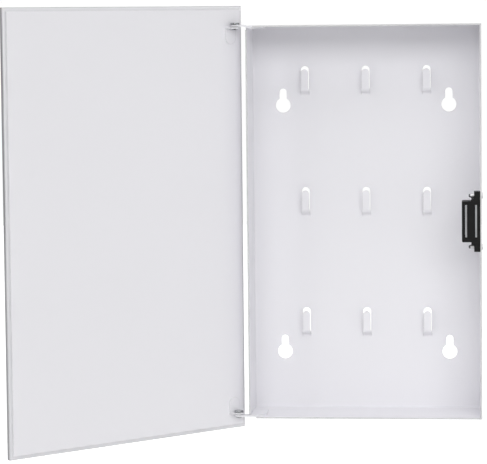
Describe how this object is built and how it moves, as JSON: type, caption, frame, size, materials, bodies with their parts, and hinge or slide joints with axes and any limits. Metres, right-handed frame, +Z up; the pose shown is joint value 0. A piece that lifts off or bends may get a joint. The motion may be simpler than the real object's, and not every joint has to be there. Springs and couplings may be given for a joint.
{
  "type": "key cabinet",
  "caption": "Shallow wall-hung steel cabinet with lanced key hooks inside and an overhanging glass-fronted door on two pivot pins, held shut by a magnetic catch.",
  "frame": {"origin": "middle of the back panel's rear face, which lies against the wall", "axes": "+Z up, +X to the right as the user faces the cabinet, and the door on the -Y side, hinged at -X. The door stands 136 degrees open at rest."},
  "size_m": [0.318, 0.1731, 0.302],
  "materials": {
    "white_paint": "fine satin powder coat",
    "white_glass": "gloss, white back-painted tempered glass, so it is opaque",
    "tape": "matte foam tape",
    "zinc": "zinc-plated steel",
    "nylon": "matte dark plastic",
    "black_plastic": "moulded, fine grain",
    "ferrite": "matte sintered ferrite",
    "pole_steel": "plated steel strip",
    "rivet_aluminium": "bright rivet aluminium",
    "stem_steel": "dark steel"
  },
  "bodies": {
    "cabinet": {"cabinet_body": "white_paint", "body_hinge_leaf_top": "white_paint", "body_hinge_leaf_bottom": "white_paint", "pivot_pin_top": "zinc", "pivot_pin_bottom": "zinc", "pivot_washer_top": "nylon", "pivot_washer_bottom": "nylon", "catch_housing": "black_plastic", "catch_rivets": "rivet_aluminium", "catch_rivet_stems": "stem_steel"},
    "door": {"door_glass": "white_glass", "door_backing_plate": "white_paint", "door_tape": "tape", "door_bracket_top": "white_paint", "door_bracket_bottom": "white_paint"},
    "catch_core": {"catch_magnet": "ferrite", "catch_pole_plate_inner": "pole_steel", "catch_pole_plate_outer": "pole_steel"}
  },
  "joints": [
    {"name": "door_hinge", "type": "hinge", "parent": "cabinet", "child": "door", "pos_m": [-0.0905, -0.0446, 0], "axis": [0, 0, -1], "range_deg": [-136, 14]},
    {"name": "catch_float", "type": "slide", "parent": "cabinet", "child": "catch_core", "axis": [0, -1, 0], "range_m": [-0.0006, 0]}
  ]
}
